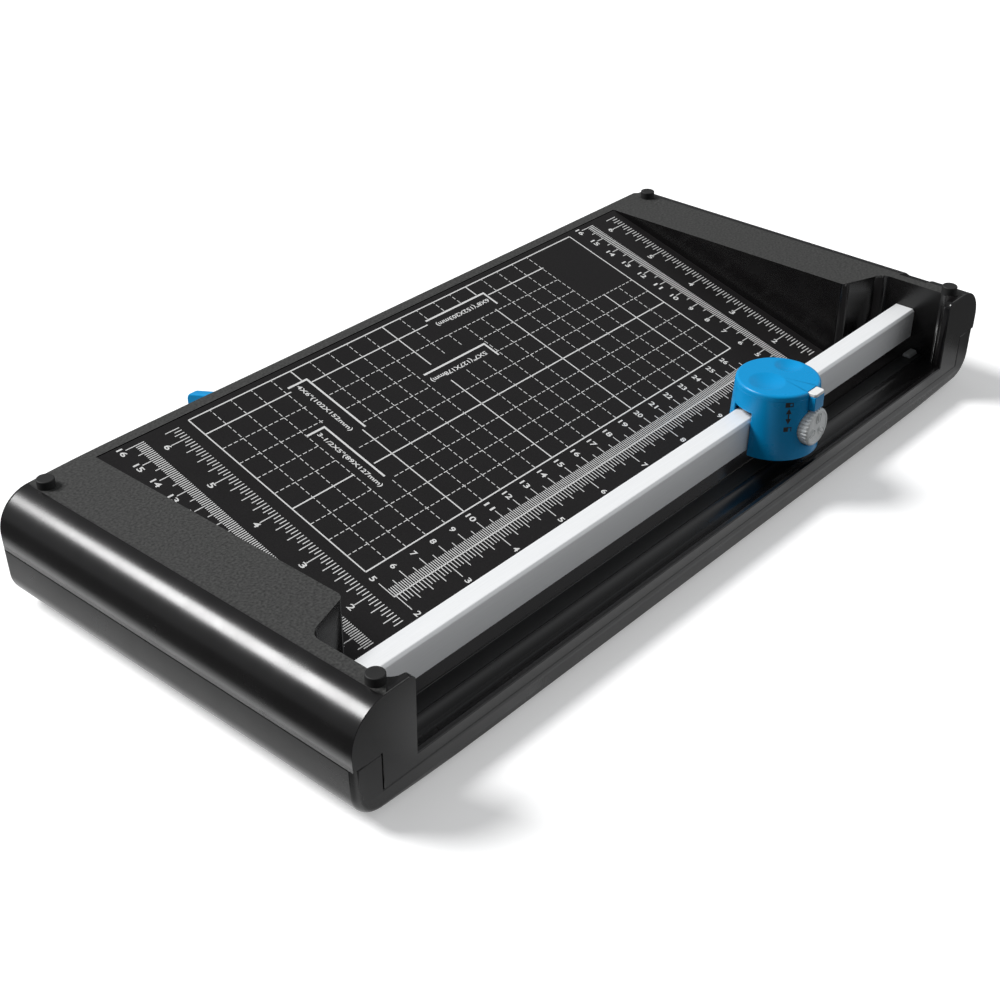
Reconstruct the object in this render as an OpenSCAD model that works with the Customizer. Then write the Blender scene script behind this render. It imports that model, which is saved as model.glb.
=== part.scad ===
// Rotary paper trimmer: a wedge-shaped bed between two rounded end blocks, a fixed guide rail
// and a cutting head that slides along it, carrying three blades on a turning selector.
// Millimetres. X runs along the rail, Y from the front lip to the back rim, Z is up.
// Every depth below is measured from the flat front face.

/* [Body] */
// overall length over the two rounded ends
body_length = 400; // [398:1:402]
// depth from the front face to the back rim
body_depth = 184; // [182:1:186]
// height of the flat top above the table
body_top = 48; // [47.5:0.5:48.5]
// height of the rubber feet
foot_height = 3; // [2.5:0.5:3.5]
// shell thickness
wall = 2.4; // [2.2:0.1:2.6]
// half of the clear width between the end blocks
half_inner = 158; // [157:0.5:159]
// radius of the rounded top of each end block
end_radius = 15.5; // [15:0.5:16.5]
// radius of the rounded foot of each end block
end_foot_radius = 12; // [11:0.5:12.5]

/* [Seam] */
// height of the seam around the ends
seam_high = 26; // [24:1:28]
// height of the seam along the front lip
seam_low = 11; // [10.5:0.5:11.5]
// where the seam steps down, from the middle
seam_step = 187.3; // [186:0.5:188.5]
// width of the groove left at the seam
seam_gap = 0.3; // [0.2:0.1:0.4]

/* [Parking pockets] */
// half width over the two pockets
half_pocket = 179.5; // [179:0.5:180]
// half width of the front opening
half_opening = 171.5; // [170:0.5:173]
// corner radius of a pocket
pocket_radius = 6; // [5:0.5:7]
// depth at which a pocket's back wall starts
pocket_back = 40.5; // [40:0.5:41]
// thickness of the front posts
post_wall = 3; // [2.5:0.5:3.5]
// rounding of the block's corner between pocket and deck
block_round = 4; // [3:0.5:4.5]
// rounding of the upper corners of the front opening
opening_round = 2.5; // [2:0.5:3]

/* [Bed] */
// height of the front lip
lip_height = 15.8; // [15.5:0.1:16]
// width of the flat on the lip
lip_flat = 2.2; // [2:0.1:2.4]
// height of the flat bed behind the rail
bed_height = 11.6; // [11.4:0.1:11.8]
// where the flat bed turns into the sloping deck
deck_front = 50.8; // [50:0.2:51.6]
// where the sloping deck meets the back rim
deck_back = 178.5; // [178:0.5:179]
// thickness of the printed sheet
sheet = 0.8; // [0.6:0.1:1]

/* [Cutting mat] */
// distance of the cut line from the front
cut_line = 17; // [16.9:0.1:17.1]
// width of the mat
mat_width = 6.6; // [6:0.2:7]
// thickness of the mat
mat_thickness = 1.4; // [1.2:0.1:1.6]
// height of the top of the mat
mat_top = 15.3; // [15.1:0.1:15.4]

/* [Guide rail] */
// front face of the rail
rail_front = 20.3; // [20.2:0.1:20.4]
// width of the rail
rail_width = 9.6; // [9.5:0.1:9.7]
// height of the underside of the rail
rail_bottom = 22.4; // [22.3:0.1:22.5]
// height of the rail section
rail_height = 13.8; // [13.7:0.1:13.9]
// wall of the hollow section
rail_wall = 1.4; // [1.2:0.1:1.6]
// bevel along the rail's upper front edge
rail_bevel = 1.1; // [0.9:0.1:1.3]

/* [Cutting head] */
// where the head stands along the rail
head_x = 62.5; // [-150:0.5:150]
// centre of the head
head_y = 19.8; // [19.7:0.1:19.9]
// top of the head
head_top = 49.3; // [49.2:0.1:49.4]
// bottom edge of the head
head_bottom = 20.3; // [20:0.1:20.6]
// radius at the top
head_r_top = 17.3; // [17.2:0.1:17.4]
// radius at the bottom
head_r_bottom = 18.8; // [18.6:0.1:19]
// shell thickness of the head
head_wall = 1.3; // [1.2:0.1:1.4]
// how far the head can be pressed down
press = 2.65; // [2.5:0.05:2.65]

/* [Blade selector] */
// height of the selector's axis
axis_z = 33; // [32.9:0.1:33.1]
// distance of each blade's centre from that axis
blade_offset = 8.4; // [8.3:0.1:8.5]
// radius of a blade
blade_radius = 6.6; // [6.4:0.1:6.6]
// thickness of a blade
blade_thickness = 0.8; // [0.6:0.1:0.9]
// radius of the selector dial
dial_radius = 8; // [7.8:0.1:8.1]
// front face of the dial
dial_face = -0.9; // [-1:0.1:-0.8]

/* [Pull-out stop] */
// middle of the pull-out stop along X
stop_x = -88; // [-92:1:-84]
// how far its tab stands out behind the rim
stop_reach = 20.3; // [19:0.1:21]
// width of the tab
stop_width = 4.6; // [4:0.1:5]
// height of the tab at its outer end
stop_height = 12; // [11:0.5:13]

/* [Hidden] */
$fn = 64;
eps = 0.01;

half_length = body_length / 2;
y_mid = (body_depth + stop_reach + dial_face) / 2;
deck_slope = (body_top - bed_height) / (deck_back - deck_front);
deck_angle = atan(deck_slope);
mat_floor = mat_top - mat_thickness;
rib_half = mat_width / 2 + 1.6;
rail_back = rail_front + rail_width;
rail_top = rail_bottom + rail_height;
rail_y = rail_front + rail_width / 2;
rail_half = half_pocket - 0.1;
pad_x = 182.2;
pad_y = [6.7, 175.4];
pad_r = 3.4;
pad_stem_r = 2.2;
pad_height = 3.4;
pad_seat = 0.6;
channel_half = 9;
arm_half = 7;
foot_x = 165;
foot_y = [22, 162];
foot_r = 6;
end_tuck = 0.5;
pocket_start = half_inner - 17;
pocket_mouth = 48;
screw_x = [-176, -60, 60, 176];
screw_y = [62, 158];
rib_x = [-120, -30, 30, 120];
floor_rib_x = [-140, 0, 140];
screw_r = 1.5;
screw_head_r = 3;
screw_head_h = 1.2;
screw_sink = 0.2;
screw_tip = 11.4;
boss_r = 4;
floor_z = foot_height + wall;
notch_x = 184.2;
notch_y = 19.4;
notch_length = 13.5;
notch_floor = 44;

// Moves a piece from front-face depths to the centred frame.
module placed() {
    translate([0, -y_mid, 0]) children();
}

// Moves a piece to the head's place along the rail.
module at_head() {
    placed() translate([head_x, 0, 0]) children();
}

// A section drawn in Y and Z, run along X from -half to half.
module along_x(half) {
    translate([-half, 0, 0]) rotate([90, 0, 90]) linear_extrude(2 * half) children();
}

// A section drawn in X and Z, run along Y from y0 to y1.
module along_y(y0, y1) {
    translate([0, y1, 0]) rotate([90, 0, 0]) linear_extrude(y1 - y0) children();
}

// A round bar along Y.
module bar_y(r, y0, y1) {
    along_y(y0, y1) circle(r);
}

// Outline of the whole body seen from the front, drawn in by a wall.
module body_outline(inset) {
    hull() for (side = [-1, 1]) {
        translate([side * (half_length - end_radius), body_top - end_radius])
            circle(end_radius - inset);
        translate([side * (half_length - end_foot_radius - end_tuck), foot_height + end_foot_radius])
            circle(end_foot_radius - inset);
    }
}

module body_block(inset) {
    along_y(inset, body_depth - inset) body_outline(inset);
}

// The bed's section from the front lip to the back rim, dropped by a thickness.
module bed_section(drop, sheet_drop) {
    rib_front = cut_line - rib_half;
    rib_back = cut_line + rib_half;
    translate([0, -drop]) polygon([
        [-1, 2 * body_top], [-1, lip_height], [lip_flat, lip_height],
        [lip_flat + 0.8, lip_height - 1.6],
        for (a = [0 : 15 : 90]) [
            lip_flat + 0.8 + (rib_front - lip_flat - 0.8) * a / 90,
            lip_height - 1.6 - 1.4 * sin(2 * a)
        ],
        [rib_front + 0.6, mat_top - 0.2], [rib_back - 0.4, mat_top - 0.2],
        [rib_back + 1.2, bed_height], [deck_front, bed_height],
        [deck_front, bed_height - sheet_drop],
        [deck_back, body_top - sheet_drop], [deck_back, 2 * body_top]
    ]);
}

// Plan of one pocket at the far end of the rail, grown by a wall.
module pocket_plan(grow) {
    corner = half_pocket - pocket_radius;
    hull() {
        translate([corner, pocket_back - pocket_radius]) circle(pocket_radius + grow);
        translate([corner, post_wall + pocket_radius]) circle(pocket_radius + grow);
        translate([pocket_start - 1, post_wall - grow]) square([1, pocket_mouth + 2 * grow]);
    }
    block_corner(grow);
}

// The rounding where a pocket's slanting back wall meets the deck's side wall.
module block_corner(grow) {
    reach = [half_pocket - pocket_radius - pocket_start,
             pocket_back - pocket_radius - post_wall - pocket_mouth];
    slant = atan2(reach[1], reach[0]) + asin(pocket_radius / norm(reach));
    xc = half_inner + block_round;
    yc = post_wall + pocket_mouth + tan(slant) * (xc - pocket_start) + block_round / cos(slant);
    r = block_round - grow;
    polygon([
        [half_inner - 1, pocket_back], [half_inner - 1, yc],
        for (i = [0 : 6]) [xc + r * cos(180 + (90 + slant) * i / 6),
                           yc + r * sin(180 + (90 + slant) * i / 6)],
        [xc - 1, pocket_back]
    ]);
}

// The rounded upper corners of the front opening.
module opening_corners() {
    r = opening_round;
    for (side = [0, 1]) mirror([side, 0, 0]) along_y(-1, post_wall + 1) polygon([
        [half_opening - 1, body_top + 1], [half_opening - 1, body_top - r],
        for (a = [180 : -15 : 90])
            [half_opening + r + r * cos(a), body_top - r + r * sin(a)],
        [half_opening + r, body_top + 1]
    ]);
}

// All the open space above the bed.
module bed_space(grow) {
    along_x(half_inner + grow) bed_section(grow, sheet);
    intersection() {
        along_x(half_pocket + grow) bed_section(grow, 0);
        for (side = [0, 1]) mirror([side, 0, 0])
            linear_extrude(3 * body_top) pocket_plan(grow);
    }
    intersection() {
        along_x(half_opening + grow) bed_section(grow, 0);
        translate([-half_length, -1, 0]) cube([body_length, post_wall + 2, 3 * body_top]);
    }
}

// The upper casing's share of the body, above the stepped seam.
module above_seam(gap) {
    translate([-half_length, -1, seam_high + gap])
        cube([body_length, body_depth + 2, body_top]);
    translate([gap - seam_step, -1, seam_low + gap])
        cube([2 * (seam_step - gap), body_depth + 2, body_top]);
    // inside the walls the bed reaches lower
    translate([-half_pocket - wall, wall, bed_height - wall])
        cube([2 * (half_pocket + wall), body_depth - 2 * wall, body_top]);
}

// The finger notch in one end's outer top edge.
module end_notch(grow) {
    translate([notch_x - grow, notch_y - grow, notch_floor - grow])
        cube([half_length - notch_x + 2 * grow, notch_length + 2 * grow, body_top]);
}

// The slot in the back wall that the pull-out stop runs through.
module stop_slot() {
    on_stop() translate([-arm_half - 0.4, -8, -1.7]) cube([2 * arm_half + 0.8, 16, 3.4]);
}

module upper_casing() {
    color("#262626") placed() difference() {
        union() {
            intersection() {
                difference() {
                    body_block(0);
                    difference() {
                        body_block(wall);
                        bed_space(wall);
                        end_notch(wall);
                        for (x = [-pad_x, pad_x], y = pad_y)
                            translate([x, y, body_top - 6]) cylinder(r = pad_stem_r + 2, h = 7);
                    }
                }
                above_seam(seam_gap / 2);
            }
            // bosses that take the casing screws
            for (x = screw_x, y = screw_y)
                translate([x, y, floor_z]) cylinder(r = boss_r, h = body_top - floor_z - wall / 2);
            // ribs that hold the stop's channel
            on_stop() for (x = [-channel_half - 1.2, channel_half])
                translate([x, -86, -3.2]) cube([1.2, 74, 16.5]);
            // ribs under the sloping deck
            for (x = rib_x) translate([x - 0.8, 70, seam_low + 1])
                cube([1.6, 100, body_top - wall - seam_low]);
        }
        bed_space(0);
        opening_corners();
        end_notch(0);
        stop_slot();
        along_x(half_pocket - 0.4) translate([cut_line - mat_width / 2 - 0.1, mat_floor])
            square([mat_width + 0.2, body_top]);
        for (x = [-pad_x, pad_x], y = pad_y) translate([x, y, body_top]) {
            translate([0, 0, -4.1]) cylinder(r = pad_stem_r + 0.05, h = 5);
            translate([0, 0, -pad_seat]) cylinder(r = pad_r + 0.05, h = 2);
        }
        for (side = [-1, 1]) translate([side * half_pocket, rail_y, rail_bottom + rail_height / 2])
            rotate([0, 90, 0]) cylinder(r = screw_r + 0.1, h = 4 * wall, center = true);
        for (x = screw_x, y = screw_y)
            translate([x, y, 0]) cylinder(r = screw_r + 0.05, h = screw_tip + 0.2);
    }
}

module lower_casing() {
    color("#1c1c1c") placed() difference() {
        union() {
            difference() {
                intersection() {
                    body_block(0);
                    translate([-half_length, -1, 0]) cube([body_length, body_depth + 2, seam_high]);
                }
                above_seam(-seam_gap / 2);
                body_block(wall);
            }
            intersection() {
                body_block(0);
                for (x = floor_rib_x) translate([x - 0.8, wall / 2, floor_z - 1])
                    cube([1.6, body_depth - wall, 2.6]);
            }
        }
        for (x = screw_x, y = screw_y) translate([x, y, 0]) {
            cylinder(r = screw_r + 0.3, h = floor_z + 1);
            cylinder(r = screw_head_r + 0.2, h = foot_height + screw_sink + screw_head_h);
        }
    }
}

module deck_sheet() {
    color("#2a2829") placed() translate([0, deck_front, bed_height - sheet])
        rotate([deck_angle, 0, 0]) translate([-half_inner + 0.1, 0.3, 0.01])
        cube([2 * half_inner - 0.2, (deck_back - deck_front) / cos(deck_angle) - 0.6, sheet * 0.95]);
}

module corner_pads() {
    color("#101010") placed() for (x = [-pad_x, pad_x], y = pad_y)
        translate([x, y, body_top]) {
            translate([0, 0, -4]) cylinder(r = pad_stem_r, h = 4);
            translate([0, 0, -pad_seat]) cylinder(r = pad_r, h = pad_height + pad_seat);
        }
}

module feet() {
    color("#101010") placed() for (x = [-foot_x, foot_x], y = foot_y)
        translate([x, y, 0]) cylinder(r1 = foot_r - 0.5, r2 = foot_r, h = foot_height);
}

// One cross-headed screw, head down, standing on z = 0.
module screw(r, length, head_r, head_h) {
    difference() {
        union() {
            cylinder(r = r, h = length);
            cylinder(r = head_r, h = head_h);
        }
        for (a = [0, 90]) rotate([0, 0, a])
            translate([-head_r * 0.6, -0.3, -eps]) cube([head_r * 1.2, 0.6, head_h * 0.5]);
    }
}

module casing_screws() {
    color("#8c8f92") placed() for (x = screw_x, y = screw_y)
        translate([x, y, foot_height + screw_sink])
        screw(screw_r, screw_tip - foot_height - screw_sink, screw_head_r, screw_head_h);
}

// The rail's outline, drawn in by a wall.
module rail_outline(inset) {
    polygon([
        [rail_front + inset, rail_bottom + inset], [rail_back - inset, rail_bottom + inset],
        [rail_back - inset, rail_top - inset],
        [rail_front + rail_bevel + inset / 2, rail_top - inset],
        [rail_front + inset, rail_top - rail_bevel - inset / 2]
    ]);
}

module guide_rail() {
    color("#c9ccce") placed() along_x(rail_half) difference() {
        rail_outline(0);
        rail_outline(rail_wall);
    }
}

module rail_plugs() {
    color("#3a3a3a") placed() for (side = [-1, 1]) difference() {
        translate([side * (rail_half - 7.5), 0, 0]) along_x(7.4) rail_outline(rail_wall + 0.02);
        translate([side * rail_half, rail_y, rail_bottom + rail_height / 2])
            rotate([0, 90, 0]) cylinder(r = screw_r + 0.02, h = 40, center = true);
    }
}

module rail_screws() {
    color("#8c8f92") placed() for (side = [-1, 1])
        translate([side * (half_pocket + wall + 1.6), rail_y, rail_bottom + rail_height / 2])
        rotate([0, -side * 90, 0]) screw(screw_r, 14, screw_head_r, 1.6);
}

module cutting_mat() {
    color("#454748") placed() along_x(half_pocket - 0.6)
        translate([cut_line - mat_width / 2, mat_floor]) square([mat_width, mat_thickness]);
}

// The small light clip that holds down the mat's far end.
module mat_clip() {
    clip_length = 7;
    color("#b9bbbc") placed() translate([half_pocket - 0.5 - clip_length, cut_line, mat_top])
        rotate([90, 0, 90]) linear_extrude(clip_length)
        polygon([[-1.4, 0], [2.6, 0], [2.2, 1.6], [-0.6, 1.6]]);
}

// Puts a piece on the stop's own sloping axis, where it leaves the back wall.
module on_stop() {
    translate([stop_x, body_depth, body_top - 14.4])
        rotate([deck_angle, 0, 0]) children();
}

module stop_channel() {
    color("#303030") placed() on_stop() difference() {
        translate([-channel_half, -88, -3.2]) cube([2 * channel_half, 78, 6.4]);
        translate([-7.3, -89, -1.6]) cube([14.6, 80, 3.2]);
        // slot for the arm's lug, closed at the back so that the arm can't be pulled out
        translate([-4, -89, -1.6]) cube([8, 77.2, 6]);
    }
}

module stop_arm() {
    color("#303030") placed() on_stop() {
        translate([-arm_half, -80, -1.3]) cube([2 * arm_half, 84, 2.6]);
        translate([-3.7, -78, 1.2]) cube([7.4, 6, 1.8]);
    }
}

// The finger tab: an upright plate on the left of the arm's end. Its top falls away from the rim
// and its back corners are rounded.
module stop_tab() {
    tab_left = stop_x - 6.6;
    tab_top = body_top - 8;
    tab_rise = 4.4;
    tab_front = body_depth + 2.4;
    round_r = 3.5;
    color("#0a93dc") placed() difference() {
        translate([tab_left, 0, 0]) rotate([90, 0, 90]) linear_extrude(stop_width)
            hull() {
                translate([tab_front, tab_top - stop_height])
                    square([1, stop_height + tab_rise]);
                for (z = [tab_top - round_r, tab_top - stop_height + round_r])
                    translate([body_depth + stop_reach - round_r, z]) circle(round_r);
            }
        on_stop() translate([-arm_half, -1, -1.32]) cube([2 * arm_half, 5.02, 2.64]);
    }
}

shoe_half = 11;
shoe_side = 1;
shoe_gap = 0.12;
post_x = 7;
post_r = 1.4;
shoe_top = rail_top + shoe_gap + 1.8;
glide_gap = 0.06;
glide_thickness = 0.7;
glide_x = [-8, 8];
cap_under = head_top - 2.4;

// The carriage: a shoe that wraps the rail, with two upright guide posts.
module carriage_shoe() {
    underside = rail_bottom - shoe_gap - 1.3;
    color("#3a3a3a") at_head() {
        difference() {
            along_x(shoe_half) difference() {
                translate([rail_front - shoe_gap - shoe_side, underside])
                    square([rail_width + 2 * (shoe_gap + shoe_side), shoe_top - underside]);
                translate([rail_front - shoe_gap, rail_bottom - shoe_gap])
                    square([rail_width + 2 * shoe_gap, rail_height + 2 * shoe_gap]);
                translate([rail_front + 2.2, rail_bottom - 3]) square([rail_width - 4.4, 6]);
            }
            glide_block(0.02);
        }
        for (x = [-post_x, post_x]) translate([x, rail_y, shoe_top - 0.4])
            cylinder(r = post_r, h = cap_under - press - 0.35 - shoe_top + 0.4);
    }
}

// One glide pad on each side of the rail near both ends of the shoe.
module glide_block(grow) {
    for (x = glide_x, side = [-1, 1])
        translate([x, rail_y + side * (rail_width + glide_thickness + 2 * glide_gap) / 2, rail_bottom + 7])
        cube([4 + 2 * grow, glide_thickness, 6 + 2 * grow], center = true);
}

module glide_pads() {
    color("#d8d8d0") at_head() glide_block(0);
}

// A coil spring drawn as stacked rings, standing on z = 0.
module ring_spring(r, wire, height, turns) {
    pitch = (height - 2 * wire) / (turns - 1);
    for (i = [0 : turns - 1]) translate([0, 0, wire + i * pitch])
        rotate_extrude() translate([r, 0]) circle(wire, $fn = 16);
    for (i = [0 : turns - 2]) rotate([0, 0, 180 * i]) translate([r, 0, wire + i * pitch])
        cylinder(r = wire * 0.8, h = pitch);
}

module return_springs() {
    color("#9a9da0") at_head() for (x = [-post_x, post_x])
        translate([x, rail_y, shoe_top]) ring_spring(3.9, 0.35, cap_under - shoe_top - 0.05, 5);
}

// The head's tapered outline, drawn in by a wall.
module head_cone(inset) {
    translate([0, head_y, head_bottom])
        cylinder(r1 = head_r_bottom - inset, r2 = head_r_top - inset, h = head_top - head_bottom);
}

dial_seat = 6.2;
seat_wall = 1.5;
sleeve_wall = 1.6;
sleeve_back = 11.3;
neck_r = 3;
tail_r = 2;
latch_half = 3.4;
latch_back = 3.9;
latch_bottom = axis_z + dial_radius + 0.35;
latch_top = head_top - 0.2;
latch_cap_h = 1.5;
stem_half = 1.6;
stem_bottom = axis_z + dial_radius + 1.85;
stem_height = 1.4;
detent_offset = 6;
detent_r = 1;
disc_front = cut_line - 4.3;
disc_back = disc_front + 2.6;
detent_y = disc_front - 1.2;
cap_screw_x = [-4.5, 4.5];
cap_screw_y = head_y + 13.2;
cap_screw_r = 0.9;
cap_post_z = cap_under - 3.9;

// Everything the latch needs kept clear on the front of the head.
module latch_recess() {
    translate([-latch_half - 0.2, -2, latch_bottom - 0.6])
        cube([2 * latch_half + 0.4, latch_back + 2.2, head_top]);
}

module head_housing() {
    color("#0a93dc") at_head() difference() {
        union() {
            difference() {
                head_cone(0);
                head_cone(head_wall);
            }
            intersection() {
                head_cone(head_wall / 2);
                union() {
                    // seat behind the dial
                    translate([-head_r_bottom, dial_seat, axis_z - dial_radius - 2])
                        cube([2 * head_r_bottom, seat_wall, 2 * dial_radius + 2.5]);
                    translate([0, 0, axis_z + detent_offset])
                        bar_y(2.2, dial_seat, detent_y + 0.3);
                    // back of the latch groove
                    translate([-latch_half - 2, latch_back + 0.2, latch_bottom - 2])
                        cube([2 * latch_half + 4, 1.4, cap_under - latch_bottom + 2]);
                    // sleeve that carries the selector shaft
                    bar_at_axis(neck_r + sleeve_wall, dial_seat, sleeve_back);
                    // dial pocket wall
                    bar_at_axis(dial_radius + 1.6, 0, dial_seat + seat_wall);
                    // posts for the screws that hold the cap from below
                    for (x = cap_screw_x) translate([x, cap_screw_y, cap_post_z]) {
                        cylinder(r = 2.4, h = cap_under - cap_post_z);
                        translate([-1, 0, 0]) cube([2, head_r_top, cap_under - cap_post_z]);
                    }
                }
            }
        }
        bar_at_axis(dial_radius + 0.4, -4, dial_seat);
        bar_at_axis(neck_r + 0.05, dial_seat - 1, sleeve_back + 1);
        // room for the blades to turn
        bar_at_axis(blade_offset + blade_radius + 0.3, cut_line - 1.6, cut_line + 1.9);
        // slot that straddles the rail
        along_x(head_r_bottom + 1) translate([rail_front - 0.35, head_bottom - 1])
            square([rail_width + 0.7, rail_top + press + 0.45 - head_bottom + 1]);
        latch_recess();
        translate([-stem_half - 0.2, latch_back, stem_bottom - 0.2])
            cube([2 * stem_half + 0.4, 3, cap_under - stem_bottom + 1]);
        translate([-head_r_bottom - 1, 0, cap_under]) cube([2 * head_r_bottom + 2, 50, 5]);
        for (x = cap_screw_x) translate([x, cap_screw_y, cap_post_z - 1])
            cylinder(r = cap_screw_r + 0.05, h = 9);
        translate([0, 0, axis_z + detent_offset]) bar_y(detent_r + 0.2, dial_seat + 0.5, detent_y + 2);
    }
}

// A round bar on the selector's axis.
module bar_at_axis(r, y0, y1) {
    translate([0, 0, axis_z]) bar_y(r, y0, y1);
}

// The domed-edge cap with its two finger dimples and the sleeves over the guide posts.
module head_cap() {
    edge = 1.2;
    dimple_r = 18;
    dimple_depth = 1.1;
    cap_h = head_top - cap_under;
    r_low = head_r_top + (head_r_bottom - head_r_top) * cap_h / (head_top - head_bottom);
    color("#0a93dc") at_head() difference() {
        union() {
            translate([0, head_y, cap_under]) rotate_extrude() polygon([
                [0, 0], [r_low, 0],
                for (a = [0 : 15 : 90])
                    [head_r_top - edge + edge * cos(a), cap_h - edge + edge * sin(a)],
                [0, cap_h]
            ]);
            for (x = [-post_x, post_x]) translate([x, rail_y, shoe_top + press + 0.3])
                cylinder(r = post_r + 1.4, h = cap_under - shoe_top - press);
        }
        for (x = [-post_x, post_x]) translate([x, rail_y, shoe_top])
            cylinder(r = post_r + 0.06, h = cap_under - shoe_top);
        for (x = [-8.6, 8.6]) translate([x, head_y + 1, head_top + dimple_r - dimple_depth])
            sphere(dimple_r);
        intersection() {
            bar_at_axis(blade_offset + blade_radius + 0.25, cut_line - 1.6, cut_line + 1.9);
            translate([-20, 0, 0]) cube([40, 40, head_top - 1]);
        }
        latch_recess();
        for (x = cap_screw_x) translate([x, cap_screw_y, cap_under - 1])
            cylinder(r = cap_screw_r + 0.01, h = 2.4);
    }
}

module cap_screws() {
    head_h = 1.1;
    color("#8c8f92") at_head() for (x = cap_screw_x)
        translate([x, cap_screw_y, cap_post_z - head_h])
        screw(cap_screw_r, cap_under + 1.3 - cap_post_z + head_h, 1.8, head_h);
}

module detent_ball() {
    color("#c8cacc") at_head() translate([0, detent_y, axis_z + detent_offset]) sphere(detent_r);
}

module detent_spring() {
    color("#9a9da0") at_head() translate([0, dial_seat + 0.55, axis_z + detent_offset])
        rotate([-90, 0, 0]) ring_spring(0.8, 0.18, detent_y - detent_r - dial_seat - 0.4, 5);
}

module lock_latch() {
    color("#0a93dc") at_head() {
        translate([-latch_half, -0.1, latch_bottom])
            cube([2 * latch_half, latch_back + 0.1, latch_top - latch_cap_h - latch_bottom]);
        translate([-stem_half, latch_back - eps, stem_bottom])
            cube([2 * stem_half, 1.9, stem_height]);
        translate([-stem_half - 1.2, latch_back + 1.75, stem_bottom])
            cube([2 * stem_half + 2.4, 1, stem_height]);
    }
}

module latch_cap() {
    color("#f2f2f2") at_head() translate([0, 0, latch_top - latch_cap_h]) linear_extrude(latch_cap_h)
        polygon([
            [-latch_half, latch_back], [-latch_half, 0.6], [-latch_half + 0.8, -0.2],
            [latch_half - 0.8, -0.2], [latch_half, 0.6], [latch_half, latch_back]
        ]);
}

// Repeats a piece at the three blade stations, the first one straight down.
module at_blades() {
    for (i = [0 : 2]) at_blade(i) children();
}

module at_blade(i) {
    translate([blade_offset * sin(120 * i), 0, axis_z - blade_offset * cos(120 * i)]) children();
}

module turret_disc() {
    color("#5a5d60") at_head() difference() {
        union() {
            bar_at_axis(4.4, disc_front - 0.6, disc_back);
            bar_at_axis(11.4, disc_front, disc_back);
        }
        bar_at_axis(tail_r, disc_front - 2, disc_back + 1);
        at_blades() bar_y(1.2, disc_front + 1, disc_back + 1);
        // dimples for the detent ball
        for (a = [0, 120, 240])
            translate([detent_offset * sin(a), 0, axis_z + detent_offset * cos(a)])
            bar_y(detent_r + 0.3, disc_front - 1, disc_front + 0.5);
    }
}

module turret_shaft() {
    color("#a4a7aa") at_head() difference() {
        union() {
            bar_at_axis(neck_r, dial_seat - 3, disc_front - 0.65);
            bar_at_axis(tail_r, dial_seat, disc_back + 0.4);
        }
        bar_at_axis(0.9, dial_seat - 4, dial_seat + 3);
    }
}

module selector_dial() {
    teeth = 28;
    color("#8a8d90") at_head() difference() {
        union() {
            bar_at_axis(dial_radius - 0.5, dial_face + 0.4, dial_seat - 0.1);
            bar_at_axis(dial_radius, dial_face + 0.9, dial_seat - 0.4);
            for (i = [0 : 2]) translate([0, 0, axis_z]) rotate([0, 120 * i, 0])
                translate([0, 0, -4.6]) dial_mark();
        }
        for (i = [0 : teeth - 1]) translate([0, 0, axis_z]) rotate([0, 360 * i / teeth, 0])
            translate([0, dial_face - 1, dial_radius + 0.15]) along_y(0, 8) circle(0.42, $fn = 8);
        bar_at_axis(neck_r + 0.01, dial_seat - 3, dial_seat + 1);
        bar_at_axis(1, dial_face - 1, dial_seat);
        bar_at_axis(2.1, dial_face - 1, dial_face + 1.6);
    }
}

// A raised blade symbol on the dial's face.
module dial_mark() {
    translate([-0.7, dial_face, -1.8]) cube([1.4, 0.6, 3.6]);
}

module dial_screw() {
    color("#b4b7ba") at_head() translate([0, dial_face + 0.5, axis_z]) rotate([-90, 0, 0])
        screw(0.88, 7.2, 2, 1.05);
}

module blade_axles() {
    color("#b4b7ba") at_head() at_blades() bar_y(1.2, disc_front + 1.05, cut_line + 1.5);
}

// Push-on clips that keep the blades on their axles.
module axle_clips() {
    color("#404346") at_head() at_blades() difference() {
        bar_y(2.2, cut_line + 1.05, cut_line + 1.45);
        bar_y(1.2, cut_line, cut_line + 2);
    }
}

// The plastic hub and bore that all three blades share.
module blade_hub() {
    difference() {
        children();
        bar_y(1.25, cut_line - 4, cut_line + 4);
    }
}

module hub_disc() {
    bar_y(3, cut_line - 1, cut_line + 0.95);
}

module straight_blade() {
    half = blade_thickness / 2;
    color("#c8cacc") at_head() at_blade(0) blade_hub() {
        union() {
            hub_disc();
            translate([0, cut_line, 0]) rotate([90, 0, 0]) rotate_extrude() polygon([
                [0, -half], [blade_radius - 1.2, -half], [blade_radius, -0.05],
                [blade_radius, 0.05], [blade_radius - 1.2, half], [0, half]
            ]);
        }
    }
}

module perforating_blade() {
    notches = 18;
    half = blade_thickness / 2;
    color("#c8cacc") at_head() at_blade(1) blade_hub() {
        union() {
            hub_disc();
            difference() {
                bar_y(blade_radius, cut_line - half, cut_line + half);
                for (i = [0 : notches - 1]) rotate([0, 360 * i / notches, 0])
                    translate([-0.4, cut_line - 1, blade_radius - 1]) cube([0.8, 2, 2]);
            }
        }
    }
}

module wavy_blade() {
    waves = 8;
    half = blade_thickness / 2;
    color("#c8cacc") at_head() at_blade(2) blade_hub() {
        union() {
            hub_disc();
            bar_y(blade_radius - 1.8, cut_line - half, cut_line + half);
            for (i = [0 : 2 * waves - 1]) rotate([0, 180 * i / waves, 0])
                translate([0, i % 2 == 0 ? 0.3 : -0.3, 0]) along_y(cut_line - half, cut_line + half)
                polygon([
                    [0, 0], [blade_radius * sin(-92 / waves), blade_radius * cos(92 / waves)],
                    [0, blade_radius], [blade_radius * sin(92 / waves), blade_radius * cos(92 / waves)]
                ]);
        }
    }
}

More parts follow.
